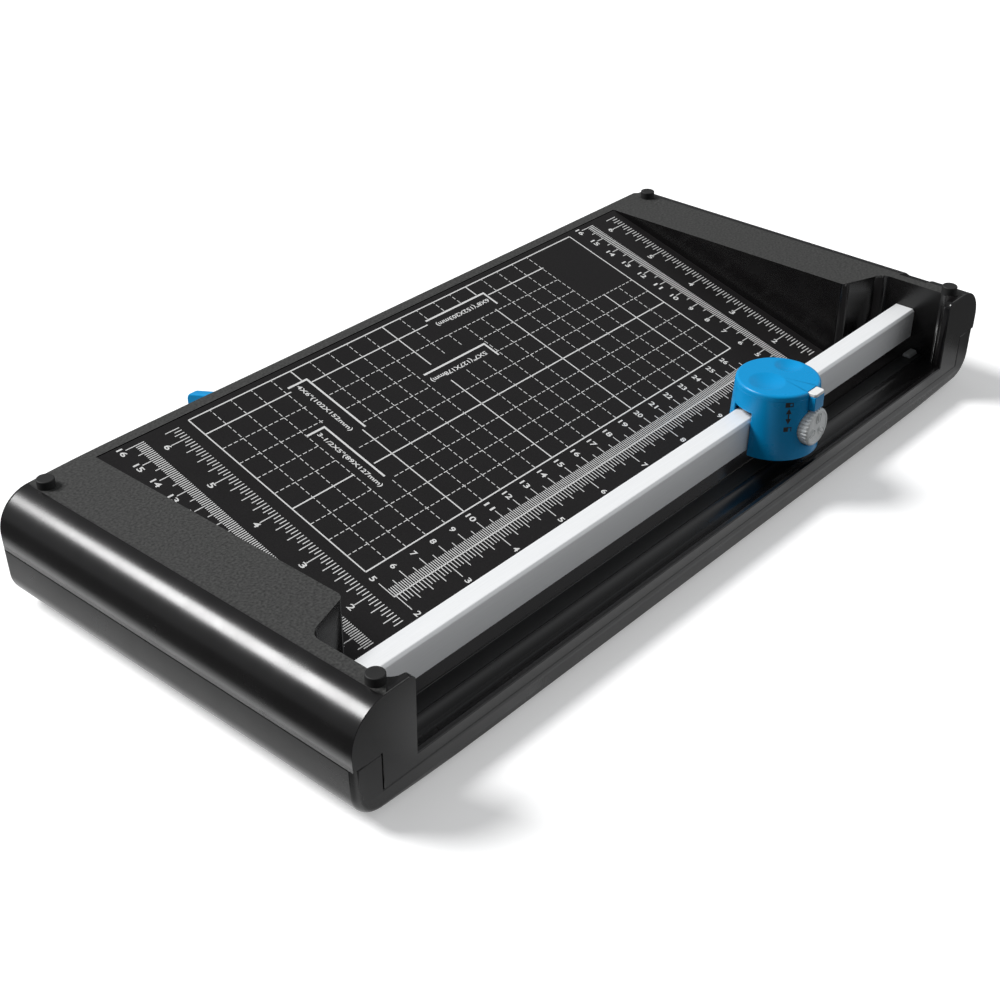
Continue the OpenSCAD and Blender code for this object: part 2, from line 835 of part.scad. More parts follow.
upper_casing();
lower_casing();
deck_sheet();
corner_pads();
feet();
casing_screws();
guide_rail();
rail_plugs();
rail_screws();
cutting_mat();
mat_clip();
stop_channel();
stop_arm();
stop_tab();
carriage_shoe();
glide_pads();
return_springs();
head_housing();
head_cap();
cap_screws();
detent_ball();
detent_spring();
lock_latch();
latch_cap();
turret_disc();
turret_shaft();
selector_dial();
dial_screw();
blade_axles();
axle_clips();
straight_blade();
perforating_blade();
wavy_blade();
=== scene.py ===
"""Looks for the rotary paper trimmer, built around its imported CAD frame.

Layout constants are in millimetres. Everything placed in the scene is in metres, in the row frame.
"""
import math

import bmesh
import bpy
from mathutils import Matrix, Vector


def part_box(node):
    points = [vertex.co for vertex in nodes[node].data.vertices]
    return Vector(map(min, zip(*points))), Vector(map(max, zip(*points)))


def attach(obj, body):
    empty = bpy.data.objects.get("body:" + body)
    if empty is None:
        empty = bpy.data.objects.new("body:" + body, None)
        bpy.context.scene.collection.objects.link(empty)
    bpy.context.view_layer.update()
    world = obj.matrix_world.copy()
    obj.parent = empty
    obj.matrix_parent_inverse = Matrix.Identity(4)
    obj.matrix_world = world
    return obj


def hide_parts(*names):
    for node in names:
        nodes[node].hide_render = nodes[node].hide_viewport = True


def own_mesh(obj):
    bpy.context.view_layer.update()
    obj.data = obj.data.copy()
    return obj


MM = 0.001

# the camera's place in metres, the way it looks, and its roll in degrees
CAMERA_PLACE = (-0.4440, -0.3737, 0.3599)
CAMERA_VIEW = (0.6328, 0.5521, -0.5429)
CAMERA_ROLL = 0.1
LENS = 57.6
SENSOR = 36

# the sun's direction, its strength and how wide it looks in degrees
SUN_TOWARDS = (-0.36, 0.60, 0.71)
SUN_ENERGY = 3.3
SUN_WIDTH = 23

# the studio's soft lights: direction, range of the cosine towards it, and strength over that range
STUDIO_LIGHTS = [
    ((0, 0.6, 0.8), (-0.1, 1), (0.02, 0.3)),
    ((0.72, -0.68, 0.12), (0.45, 1), (0, 0.95)),
    ((-0.75, 0.65, 0.1), (0.4, 1), (0, 0.22)),
]
STUDIO_TINT = (0.97, 0.985, 1, 1)
WHITE = (1, 1, 1, 1)

# half the floor's side in metres
FLOOR_HALF = 4
FLOOR_PAPER = (0.93, 0.93, 0.93, 1)
FLOOR_GLOW = 0.3
FLOOR_DIM = (0.12, 0.12, 0.12, 1)
# where the floor stops reflecting brightly: from where it starts to fade to where it is dim, in
# millimetres past the casing's end, and past its back's distance from the middle, on both sides
FADE_PAST_END = (2, 27)
FADE_PAST_BACK = (30, 70)

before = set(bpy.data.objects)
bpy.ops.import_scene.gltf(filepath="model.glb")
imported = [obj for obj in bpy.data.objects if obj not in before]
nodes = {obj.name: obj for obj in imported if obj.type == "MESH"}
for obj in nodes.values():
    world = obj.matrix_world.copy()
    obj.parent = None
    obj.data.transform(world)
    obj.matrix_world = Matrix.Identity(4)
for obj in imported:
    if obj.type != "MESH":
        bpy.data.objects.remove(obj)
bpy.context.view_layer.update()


# ---------------------------------------------------------------- camera, lights and floor

def add_camera():
    """The photograph's viewpoint: high, in front of the left end, with a long lens."""
    data = bpy.data.cameras.new("camera")
    data.lens = LENS
    data.sensor_width = SENSOR
    data.clip_start = 0.01
    camera = bpy.data.objects.new("camera", data)
    turn = Vector(CAMERA_VIEW).to_track_quat("-Z", "Y").to_matrix().to_4x4()
    roll = Matrix.Rotation(math.radians(CAMERA_ROLL), 4, "Z")
    camera.matrix_world = Matrix.Translation(CAMERA_PLACE) @ turn @ roll
    bpy.context.scene.collection.objects.link(camera)
    bpy.context.scene.camera = camera


def add_sun():
    """A far light behind the object, with a soft edge."""
    data = bpy.data.lights.new("key", "SUN")
    data.energy = SUN_ENERGY
    data.angle = math.radians(SUN_WIDTH)
    light = bpy.data.objects.new("key", data)
    light.location = SUN_TOWARDS
    light.rotation_euler = light.location.to_track_quat("Z", "Y").to_euler()
    bpy.context.scene.collection.objects.link(light)


def combine(tree, operation, first, second):
    """A Math node that takes two sockets."""
    node = tree.nodes.new("ShaderNodeMath")
    node.operation = operation
    tree.links.new(first, node.inputs[0])
    tree.links.new(second, node.inputs[1])
    return node.outputs["Value"]


def blend_shaders(tree, factor, first, second, output):
    """Sends the output node the first shader where the factor is 0, and the second where it is 1."""
    mix = tree.nodes.new("ShaderNodeMixShader")
    tree.links.new(factor, mix.inputs["Fac"])
    tree.links.new(first, mix.inputs[1])
    tree.links.new(second, mix.inputs[2])
    tree.links.new(mix.outputs["Shader"], tree.nodes[output].inputs["Surface"])


def strength_towards(tree, direction, towards, faced, strength):
    """Light that grows as a direction of the world turns `towards`."""
    dot = tree.nodes.new("ShaderNodeVectorMath")
    dot.operation = "DOT_PRODUCT"
    dot.inputs[1].default_value = Vector(towards).normalized()
    tree.links.new(direction, dot.inputs[0])
    return remap(tree, dot.outputs["Value"], *strength, faced)


def studio_strength(tree):
    """Soft light from behind and above, a bright area at the front right, a faint one back left."""
    place = tree.nodes.new("ShaderNodeTexCoord")
    total = None
    for towards, faced, strength in STUDIO_LIGHTS:
        term = strength_towards(tree, place.outputs["Generated"], towards, faced, strength)
        total = combine(tree, "ADD", total, term) if total else term
    return total


def add_world():
    """White to the camera, and a dimmer studio for all other rays."""
    world = bpy.data.worlds.new("studio")
    world.use_nodes = True
    tree = world.node_tree
    seen = tree.nodes["Background"]
    seen.inputs["Color"].default_value = WHITE
    studio = tree.nodes.new("ShaderNodeBackground")
    studio.inputs["Color"].default_value = STUDIO_TINT
    tree.links.new(studio_strength(tree), studio.inputs["Strength"])
    rays = tree.nodes.new("ShaderNodeLightPath")
    blend_shaders(tree, rays.outputs["Is Camera Ray"], studio.outputs["Background"],
                  seen.outputs["Background"], "World Output")
    bpy.context.scene.world = world


def floor_material():
    """Pale paper that throws little light back up, and is bright in reflections only nearby."""
    material, tree, shader = new_material("floor")
    shader.inputs["Base Color"].default_value = FLOOR_PAPER
    shader.inputs["Roughness"].default_value = 1
    shader.inputs["Specular IOR Level"].default_value = 0
    shader.inputs["Emission Color"].default_value = WHITE
    shader.inputs["Emission Strength"].default_value = FLOOR_GLOW
    dim = tree.nodes.new("ShaderNodeBsdfDiffuse")
    dim.inputs["Color"].default_value = FLOOR_DIM
    rays = tree.nodes.new("ShaderNodeLightPath")
    far = combine(tree, "MULTIPLY", rays.outputs["Is Glossy Ray"], distance_from_object(tree))
    dimmed = combine(tree, "MAXIMUM", rays.outputs["Is Diffuse Ray"], far)
    blend_shaders(tree, dimmed, shader.outputs["BSDF"], dim.outputs["BSDF"], "Material Output")
    return material


def distance_from_object(tree):
    """From 0 on the floor beside the object to 1 a short way off."""
    place = tree.nodes.new("ShaderNodeTexCoord")
    from_middle = tree.nodes.new("ShaderNodeVectorMath")
    from_middle.operation = "ABSOLUTE"
    tree.links.new(place.outputs["Object"], from_middle.inputs[0])
    parts = tree.nodes.new("ShaderNodeSeparateXYZ")
    tree.links.new(from_middle.outputs["Vector"], parts.inputs["Vector"])
    far_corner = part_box("lower_casing")[1]
    past_end = [far_corner.x + distance * MM for distance in FADE_PAST_END]
    past_back = [far_corner.y + distance * MM for distance in FADE_PAST_BACK]
    return combine(tree, "MAXIMUM", remap(tree, parts.outputs["X"], 0, 1, past_end),
                   remap(tree, parts.outputs["Y"], 0, 1, past_back))


def add_floor():
    corners = [(x * FLOOR_HALF, y * FLOOR_HALF, 0) for x, y in ((-1, -1), (1, -1), (1, 1), (-1, 1))]
    mesh = bpy.data.meshes.new("floor")
    mesh.from_pydata(corners, [], [(0, 1, 2, 3)])
    floor = bpy.data.objects.new("floor", mesh)
    bpy.context.scene.collection.objects.link(floor)
    mesh.materials.append(floor_material())


# ---------------------------------------------------------------- materials

NOISE_DETAIL = 3
# size of the broad, faint unevenness, in grains
BROAD_GRAIN = 22

# the upper casing's spark texture and painted top light: how level a face carries them, and how far
# below the top
LEVEL_FACE = (0.9965, 0.9995)
BELOW_TOP = (1.2, 0.6)
POLISHED = (0.0048, 0.0044, 0.0046)
# colour of the sparked tops: lighter grey, partly their own tone and partly painted light from above
SPARKED_AND_TOPLIT = (0.036, 0.0361, 0.035)

INK = (0.80, 0.80, 0.79)
WORN_INK = (0.5, 0.5, 0.5)
BLUE = (0.0003, 0.30, 0.66)


def new_material(name):
    material = bpy.data.materials.new(name)
    material.use_nodes = True
    return material, material.node_tree, material.node_tree.nodes["Principled BSDF"]


def noise(tree, cell, detail, stretch=(1, 1, 1)):
    """Noise fixed to the piece, with cells of that size in millimetres, drawn out by `stretch`."""
    place = tree.nodes.new("ShaderNodeTexCoord")
    mapping = tree.nodes.new("ShaderNodeMapping")
    mapping.inputs["Scale"].default_value = [1 / (cell * MM * s) for s in stretch]
    texture = tree.nodes.new("ShaderNodeTexNoise")
    texture.inputs["Scale"].default_value = 1
    texture.inputs["Detail"].default_value = detail
    tree.links.new(place.outputs["Object"], mapping.inputs["Vector"])
    tree.links.new(mapping.outputs["Vector"], texture.inputs["Vector"])
    return texture.outputs["Fac"]


def remap(tree, value, low, high, source=(0.3, 0.7)):
    """Spreads a value from the source range over low to high."""
    node = tree.nodes.new("ShaderNodeMapRange")
    node.inputs["From Min"].default_value = source[0]
    node.inputs["From Max"].default_value = source[1]
    node.inputs["To Min"].default_value = low
    node.inputs["To Max"].default_value = high
    tree.links.new(value, node.inputs["Value"])
    return node.outputs["Result"]


def blend_colours(tree, factor, first, second):
    node = tree.nodes.new("ShaderNodeMix")
    node.data_type = "RGBA"
    for socket, colour in ((node.inputs["A"], first), (node.inputs["B"], second)):
        if isinstance(colour, tuple):
            socket.default_value = (*colour, 1)
        else:
            tree.links.new(colour, socket)
    tree.links.new(factor, node.inputs["Factor"])
    return node.outputs["Result"]


def tinted(tree, value, colour, spread):
    """The colour, darker and lighter by `spread` as the value changes."""
    dark = tuple(c * (1 - spread) for c in colour)
    light = tuple(c * (1 + spread) for c in colour)
    return blend_colours(tree, remap(tree, value, 0, 1), dark, light)


def relief(tree, shader, height, depth):
    """Bumps of that depth in millimetres."""
    bump = tree.nodes.new("ShaderNodeBump")
    bump.inputs["Strength"].default_value = 1
    bump.inputs["Distance"].default_value = depth * MM
    tree.links.new(height, bump.inputs["Height"])
    tree.links.new(bump.outputs["Normal"], shader.inputs["Normal"])


def finish_of(name, colour, roughness, grain=0.5, depth=0.01, spread=0.08, uneven=0.04,
              metallic=0.0, stretch=(1, 1, 1), specular=0.5):
    """A material with a fine grain, a slightly uneven gloss and a slightly uneven colour."""
    material, tree, shader = new_material(name)
    shader.inputs["Metallic"].default_value = metallic
    shader.inputs["Specular IOR Level"].default_value = specular
    fine = noise(tree, grain, NOISE_DETAIL, stretch)
    broad = noise(tree, BROAD_GRAIN * grain, NOISE_DETAIL, stretch)
    gloss = remap(tree, broad, roughness - uneven, roughness + uneven)
    tree.links.new(gloss, shader.inputs["Roughness"])
    tree.links.new(tinted(tree, fine, colour, spread), shader.inputs["Base Color"])
    relief(tree, shader, fine, depth)
    return material


def casing_material():
    """Black moulding: sparked texture on the flat tops, polished everywhere else; the tops' lighter
    grey colour is partly painted top light.
    """
    material, tree, shader = new_material("casing_upper")
    place = tree.nodes.new("ShaderNodeTexCoord")
    normal = tree.nodes.new("ShaderNodeSeparateXYZ")
    tree.links.new(place.outputs["Normal"], normal.inputs["Vector"])
    point = tree.nodes.new("ShaderNodeSeparateXYZ")
    tree.links.new(place.outputs["Object"], point.inputs["Vector"])
    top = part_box("upper_casing")[1].z
    is_flat = remap(tree, normal.outputs["Z"], 0, 1, LEVEL_FACE)
    is_high = remap(tree, point.outputs["Z"], 0, 1, [top - depth * MM for depth in BELOW_TOP])
    textured_and_toplit = combine(tree, "MULTIPLY", is_flat, is_high)
    spark = noise(tree, 1.0, 4)
    broad = noise(tree, 14, 3)
    polished = tinted(tree, broad, POLISHED, 0.2)
    sparked_and_toplit = tinted(tree, spark, SPARKED_AND_TOPLIT, 0.65)
    # painted top light: level top faces get the lighter sparked colour, all other faces the polished
    # black
    tree.links.new(blend_colours(tree, textured_and_toplit, polished, sparked_and_toplit), shader.inputs["Base Color"])
    gloss = tree.nodes.new("ShaderNodeMix")
    gloss.data_type = "FLOAT"
    tree.links.new(textured_and_toplit, gloss.inputs["Factor"])
    tree.links.new(remap(tree, broad, 0.23, 0.28), gloss.inputs["A"])
    tree.links.new(remap(tree, spark, 0.62, 0.78), gloss.inputs["B"])
    tree.links.new(gloss.outputs["Result"], shader.inputs["Roughness"])
    bump = tree.nodes.new("ShaderNodeBump")
    bump.inputs["Distance"].default_value = 0.03 * MM
    tree.links.new(spark, bump.inputs["Height"])
    tree.links.new(remap(tree, textured_and_toplit, 0.12, 1, (0, 1)), bump.inputs["Strength"])
    tree.links.new(bump.outputs["Normal"], shader.inputs["Normal"])
    return material


def ink_material():
    """Silk-screened light ink, worn thin in small spots."""
    material, tree, shader = new_material("deck_ink")
    worn = noise(tree, 1.4, 4)
    colour = blend_colours(tree, remap(tree, worn, 0, 1, (0.62, 0.8)), INK, WORN_INK)
    tree.links.new(colour, shader.inputs["Base Color"])
    tree.links.new(remap(tree, worn, 0.45, 0.6), shader.inputs["Roughness"])
    relief(tree, shader, worn, 0.004)
    return material


def make_materials():
    return {
        "casing_upper": casing_material(),
        "casing_lower": finish_of("casing_lower", (0.0065, 0.0062, 0.0064), 0.3, 0.8, 0.008, 0.2),
        "deck": finish_of("deck_black", (0.0108, 0.0098, 0.0102), 0.55, 0.7, 0.012, 0.2, 0.06,
                          specular=0.25),
        "rubber": finish_of("rubber_black", (0.010, 0.010, 0.010), 0.62, 0.35, 0.02, 0.25, 0.08),
        "rail": finish_of("rail_aluminium", (0.93, 0.94, 0.95), 0.4, 0.25, 0.004, 0.03, 0.05,
                          metallic=0.1, stretch=(60, 1, 1)),
        "screw": finish_of("screw_steel", (0.55, 0.56, 0.57), 0.33, 0.2, 0.004, 0.08,
                           metallic=1.0),
        "inner": finish_of("inner_plastic", (0.028, 0.029, 0.03), 0.5, 0.5, 0.02, 0.15),
        "mat": finish_of("mat_grey", (0.013, 0.0135, 0.014), 0.42, 0.6, 0.01, 0.15),
        "clip": finish_of("clip_grey", (0.34, 0.35, 0.35), 0.42, 0.4, 0.01, 0.1),
        "blue": finish_of("blue_plastic", BLUE, 0.3, 0.45, 0.004, 0.04, 0.04, specular=0.3),
        "white": finish_of("white_plastic", (0.86, 0.86, 0.85), 0.38, 0.4, 0.004, 0.03),
        "glide": finish_of("glide_white", (0.72, 0.72, 0.68), 0.3, 0.4, 0.004, 0.05),
        "grey": finish_of("selector_grey", (0.84, 0.86, 0.86), 0.34, 0.3, 0.008, 0.08),
        "blade": finish_of("blade_steel", (0.62, 0.63, 0.64), 0.22, 0.15, 0.002, 0.05,
                           metallic=1.0),
        "spring": finish_of("spring_steel", (0.4, 0.41, 0.42), 0.3, 0.2, 0.003, 0.08,
                            metallic=1.0),
        "ink": ink_material(),
        "icon": finish_of("icon_black", (0.0025, 0.0025, 0.003), 0.6, 0.3, 0.003, 0.1),
    }


FINISHES = {
    "casing_upper": ["upper_casing"],
    "casing_lower": ["lower_casing"],
    "deck": ["deck_sheet"],
    "rubber": ["corner_pads", "feet"],
    "rail": ["guide_rail"],
    "screw": ["casing_screws", "rail_screws", "cap_screws", "dial_screw"],
    "inner": ["rail_plugs", "stop_channel", "stop_arm", "carriage_shoe", "turret_disc"],
    "mat": ["cutting_mat"],
    "clip": ["mat_clip"],
    "blue": ["stop_tab", "head_housing", "head_cap", "lock_latch"],
    "white": ["latch_cap"],
    "glide": ["glide_pads"],
    "grey": ["selector_dial"],
    "blade": ["straight_blade", "perforating_blade", "wavy_blade", "turret_shaft", "blade_axles",
              "detent_ball"],
    "spring": ["return_springs", "detent_spring", "axle_clips"],
}

# points closer than this are one point, and faces turned less than this, in degrees, are one face
WELD = 0.002
DISSOLVE = 0.4
CASING_WELD = 0.003
CASING_DISSOLVE = 0.5

# least turn between two faces that is rounded, in degrees
SOFTENED_TURN = 35
# width of the rounding along each node's edges
EDGE_ROUNDING = {
    "corner_pads": 0.4,
    "feet": 0.5,
    "guide_rail": 0.3,
    "head_housing": 0.25,
    "lock_latch": 0.3,
    "latch_cap": 0.35,
    "stop_tab": 0.8,
    "mat_clip": 0.3,
}


def dress_nodes(materials):
    """Gives every CAD node its material, and some of the visible ones rounded edges."""
    for finish, names in FINISHES.items():
        for name in names:
            for slot in nodes[name].material_slots:
                slot.material = materials[finish]
    for name, width in EDGE_ROUNDING.items():
        for polygon in nodes[name].data.polygons:
            polygon.use_smooth = True
        soften_edges(nodes[name], width)


# width of the rounding round the casings' front and back outlines, and on their other edges
OUTLINE_ROUNDING = 2.4
CASING_ROUNDING = 0.45
OUTLINE_TOLERANCE = 0.02
# distances from the middle: where the rounded outline starts, and just past the seam's step
OUTLINE_START = 170
PAST_SEAM_STEP = 187.6
# heights above which an edge belongs to a block's top, and below which to its underside
BLOCK_TOP = 45
BLOCK_UNDERSIDE = 4
# least turn between two faces, and least corner within a face, that take a rounding: degrees
LEAST_TURN = 38
LEAST_CORNER = 25
# least area of a face beside a rounding, as a share of the rounding's width times its outline
LEAST_ROOM = 1.1
# angle up to which edges are shaded smoothly, in degrees
SMOOTH_ANGLE = 40


def is_outline(edge, level):
    """Whether an edge runs round the end blocks' front or back outline, at that depth."""
    off_level = [abs(vertex.co.y - level) > OUTLINE_TOLERANCE * MM for vertex in edge.verts]
    if len(edge.link_faces) != 2 or any(off_level):
        return False
    side = min(edge.link_faces, key=lambda face: abs(face.normal.y)).normal
    middle = (edge.verts[0].co + edge.verts[1].co) / 2
    if abs(side.y) > 0.3 or abs(middle.x) < OUTLINE_START * MM:
        return False
    outward = side.x * math.copysign(1, middle.x)
    on_top = side.z > 0.5 and middle.z > BLOCK_TOP * MM
    on_end = outward > 0.1 and abs(middle.x) > PAST_SEAM_STEP * MM
    on_underside = side.z < -0.9 and middle.z < BLOCK_UNDERSIDE * MM
    return on_top or on_end or on_underside


def takes_rounding(edge, width):
    """Whether a sharp outer edge has enough room on both sides for a rounding that wide."""
    if len(edge.link_faces) != 2 or edge.calc_length() < 2 * width or not edge.is_convex:
        return False
    if edge.calc_face_angle() < math.radians(LEAST_TURN):
        return False
    if min(face.normal.z for face in edge.link_faces) < -0.5:
        return False
    for face in edge.link_faces:
        if face.calc_area() < LEAST_ROOM * width * face.calc_perimeter():
            return False
    corners = [loop for first in edge.link_loops for loop in (first, first.link_loop_next)]
    if min(loop.calc_angle() for loop in corners) < math.radians(LEAST_CORNER):
        return False
    neighbours = [other for vertex in edge.verts for other in vertex.link_edges]
    return min(other.calc_length() for other in neighbours) > width


def shape_casing(name, finish, materials):
    """Stands for a casing node, with its outline and its edges rounded."""
    bm = bmesh.new()
    bm.from_mesh(nodes[name].data)
    bmesh.ops.remove_doubles(bm, verts=bm.verts, dist=CASING_WELD * MM)
    bmesh.ops.dissolve_limit(bm, angle_limit=math.radians(CASING_DISSOLVE), verts=bm.verts,
                             edges=bm.edges)
    low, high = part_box(name)
    for level in (low.y, high.y):
        rim = [edge for edge in bm.edges if is_outline(edge, level)]
        bmesh.ops.bevel(bm, geom=rim, offset=OUTLINE_ROUNDING * MM, segments=5, profile=0.5,
                        affect="EDGES", clamp_overlap=True)
    width = CASING_ROUNDING * MM
    sharp = [edge for edge in bm.edges if takes_rounding(edge, width)]
    bmesh.ops.bevel(bm, geom=sharp, offset=width, segments=2, profile=0.5,
                    affect="EDGES", clamp_overlap=False)
    piece = add_piece(name + "_shaped", bm, materials[finish], "base")
    smooth(piece, SMOOTH_ANGLE)
    weight_normals(piece)
    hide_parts(name)


def smooth(piece, angle):
    """Smooth shading, except across edges sharper than that many degrees."""
    for polygon in piece.data.polygons:
        polygon.use_smooth = True
    piece.data.set_sharp_from_angle(angle=math.radians(angle))


def weight_normals(piece, weight=50):
    """Keeps large faces flat where they meet a rounding."""
    normals = piece.modifiers.new("normals", "WEIGHTED_NORMAL")
    normals.keep_sharp = True
    normals.weight = weight


def soften_edges(obj, width):
    """Rounds a CAD node's edges with modifiers, which leave its mesh alone."""
    weld = obj.modifiers.new("weld", "WELD")
    weld.merge_threshold = WELD * MM
    dissolve = obj.modifiers.new("dissolve", "DECIMATE")
    dissolve.decimate_type = "DISSOLVE"
    dissolve.angle_limit = math.radians(DISSOLVE)
    bevel = obj.modifiers.new("bevel", "BEVEL")
    bevel.width = width * MM
    bevel.segments = 3
    bevel.limit_method = "ANGLE"
    bevel.angle_limit = math.radians(SOFTENED_TURN)
    bevel.use_clamp_overlap = False
    bevel.harden_normals = False
    weight_normals(obj, 60)


# ---------------------------------------------------------------- mesh helpers

def add_piece(name, bm, material, body):
    """Turns a bmesh into a piece that rides on a body."""
    bmesh.ops.recalc_face_normals(bm, faces=bm.faces)
    mesh = bpy.data.meshes.new(name)
    bm.to_mesh(mesh)
    bm.free()
    mesh.materials.append(material)
    piece = bpy.data.objects.new(name, mesh)
    bpy.context.scene.collection.objects.link(piece)
    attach(piece, body)
    return piece


def add_box(bm, place, x0, x1, y0, y1, z0, z1):
    """A closed box whose corners go through the function `place`."""
    corners = [bm.verts.new(place(x, y, z)) for z in (z0, z1) for y in (y0, y1) for x in (x0, x1)]
    for face in ((0, 1, 3, 2), (4, 5, 7, 6), (0, 1, 5, 4), (2, 3, 7, 6), (0, 2, 6, 4), (1, 3, 7, 5)):
        bm.faces.new([corners[i] for i in face])


# ---------------------------------------------------------------- print on the deck
# Print coordinates: across runs along the rail from the middle, up runs up the slope from the
# cut line.

SHEET_THICKNESS = 0.76
SHEET_FRONT = 30.75
INK_BOTTOM = -0.02
INK_TOP = 0.03

SQUARE = 10.71
SQUARES = 22
GRID_LEFT = -116.4
GRID_RIGHT = GRID_LEFT + SQUARES * SQUARE
ROW = 10
ROWS = 10
GRID_FRONT = 60
GRID_BACK = GRID_FRONT + ROWS * ROW
LINE = 0.58
DASH_LINE = 0.34
DASH = 2.0
DASH_PITCH = 3.0
# areas kept free of grid lines for the paper sizes: left, right, front, back
LABEL_AREAS = [
    (-71.2, -59.9, 117.2, 152.9),
    (-84.0, -73.0, 89.0, 127.4),
    (-19.5, 22.5, 118.0, 130.2),
    (9.2, 49.0, 141.0, 152.8),
    (88.0, 119.3, 120.2, 161.0),
]

RAIL_ZERO = -170.1
CM_ACROSS = SQUARE
INCH_ACROSS = 27.2
CM_UP = 10
INCH_UP = 25.4
TICK = 0.38
# from the near end's rulers to the far end's
FAR_SHIFT = 275.6

# the ruler along the rail: its base line, and the lengths of its ticks from long to short
RAIL_BASE = 44.93
RAIL_CM_TICKS = (8.1, 6.2, 4.1)
RAIL_INCH_TICKS = (8.4, 6.2, 4.1, 4.1)
RAIL_CM_FIGURES = 56
RAIL_INCH_FIGURES = 33.9
# the rulers up the slope: base line, ticks and the middle of their figures
INCH_BASE = -122.1
INCH_TICKS = (9.0, 6.8, 4.6, 3.5)
INCH_FIGURES = -132.7
CM_BASE = -138.0
CM_TICKS = (8.8, 6.7, 4.6)
CM_FIGURES = -148.7

# width of the lines of a paper size's corner
CORNER_MARK = 0.96
NOTE_HEIGHT = 3.0
# paper sizes: the note, its middle, length and reading; the corner, its arm's and its leg's end
PAPER_SIZES = [
    ('4X6"(102X152mm)', (-66.8, 135.2), 32.0, "side", (-60.6, 152.4), -70.5, 117.6),
    ('3-1/2X5"(89X127mm)', (-79.5, 107.1), 36.2, "side", (-74.6, 126.8), -84.0, 92.3),
    ('5X7"(127X178mm)', (0.4, 122.5), 34.3, "end", (21.2, 126.8), -16.5, 118),
    ('6X8"(152X203mm)', (29.7, 147.8), 33.8, "end", (48.1, 152.2), 10.7, 143.3),
]


def deck_frame():
    """Matrix from print millimetres (across, up the slope, off the sheet) to the row frame."""
    low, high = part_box("deck_sheet")
    thick = SHEET_THICKNESS * MM
    angle = 0.0
    for _ in range(6):
        rise = high.z - low.z - thick * math.cos(angle)
        run = high.y - low.y - thick * math.sin(angle)
        angle = math.atan2(rise, run)
    edge = Vector(((low.x + high.x) / 2, low.y, low.z + thick * math.cos(angle)))
    start = Matrix.Translation((0, -SHEET_FRONT * MM, 0))
    return Matrix.Translation(edge) @ Matrix.Rotation(angle, 4, "X") @ start @ Matrix.Scale(MM, 4)


def add_bar(bm, deck, left, right, front, back):
    """A printed bar."""
    add_box(bm, lambda x, y, z: deck @ Vector((x, y, z)), left, right, front, back,
            INK_BOTTOM, INK_TOP)


def is_clear(across, up):
    """Whether a grid line may pass this point."""
    return not any(left < across < right and front < up < back
                   for left, right, front, back in LABEL_AREAS)


def pieces_of_line(start, end, step, dashed, point):
    """The stretches of a grid line to draw: short dashes, or solid runs between label areas."""
    drawn = []
    at = start
    while at < end - 0.2:
        stop = min(at + (DASH if dashed else step), end)
        if is_clear(*point((at + stop) / 2)):
            if drawn and not dashed and abs(drawn[-1][1] - at) < 0.01:
                drawn[-1][1] = stop
            else:
                drawn.append([at, stop])
        at += DASH_PITCH if dashed else step
    return drawn


def add_grid(bm, deck):
    for column in range(SQUARES + 1):
        across = GRID_LEFT + column * SQUARE
        outline = column in (0, SQUARES)
        solid = outline or column % 5 == 0
        half = (LINE if solid else DASH_LINE) / 2
        for a, b in pieces_of_line(GRID_FRONT, GRID_BACK, 0.5, not solid,
                                   lambda up: (GRID_LEFT if outline else across, up)):
            add_bar(bm, deck, across - half, across + half, a, b)
    for row in range(ROWS + 1):
        up = GRID_FRONT + row * ROW
        outline = row in (0, ROWS)
        solid = outline or up % 50 == 0
        half = (LINE if solid else DASH_LINE) / 2
        for a, b in pieces_of_line(GRID_LEFT, GRID_RIGHT, 0.5, not solid,
                                   lambda across: (across, GRID_FRONT if outline else up)):
            add_bar(bm, deck, a, b, up - half, up + half)


def inch_tick(sixteenths, lengths):
    """Length of a sixteenth-inch tick: whole inch, half and quarter, eighth, sixteenth."""
    if sixteenths % 16 == 0:
        return lengths[0]
    if sixteenths % 4 == 0:
        return lengths[1]
    if sixteenths % 2 == 0:
        return lengths[2]
    return lengths[3]


def cm_tick(millimetres, lengths):
    """Length of a millimetre tick: whole centimetre, half, millimetre."""
    if millimetres % 10 == 0:
        return lengths[0]
    return lengths[1] if millimetres % 5 == 0 else lengths[2]


def add_rail_ruler(bm, deck):
    """Centimetres and inches side by side along the rail."""
    add_bar(bm, deck, GRID_LEFT - 0.4, GRID_RIGHT, RAIL_BASE - 0.25, RAIL_BASE + 0.25)
    for mm in range(50, 270):
        across = RAIL_ZERO + mm * CM_ACROSS / 10
        length = cm_tick(mm, RAIL_CM_TICKS)
        add_bar(bm, deck, across - TICK / 2, across + TICK / 2, RAIL_BASE, RAIL_BASE + length)
    for part in range(32, 170):
        across = RAIL_ZERO + part * INCH_ACROSS / 16
        length = inch_tick(part, RAIL_INCH_TICKS)
        add_bar(bm, deck, across - TICK / 2, across + TICK / 2, RAIL_BASE - length, RAIL_BASE)
    for cm in range(5, 27):
        figures = str(cm)
        across = RAIL_ZERO + cm * CM_ACROSS
        add_text(bm, deck, figures, across, RAIL_CM_FIGURES, 2.9, 2.0 * len(figures), "side")
    for inch in range(2, 11):
        figures = str(inch)
        across = RAIL_ZERO + inch * INCH_ACROSS + 0.3
        add_text(bm, deck, figures, across, RAIL_INCH_FIGURES, 2.9, 2.0 * len(figures), "side")


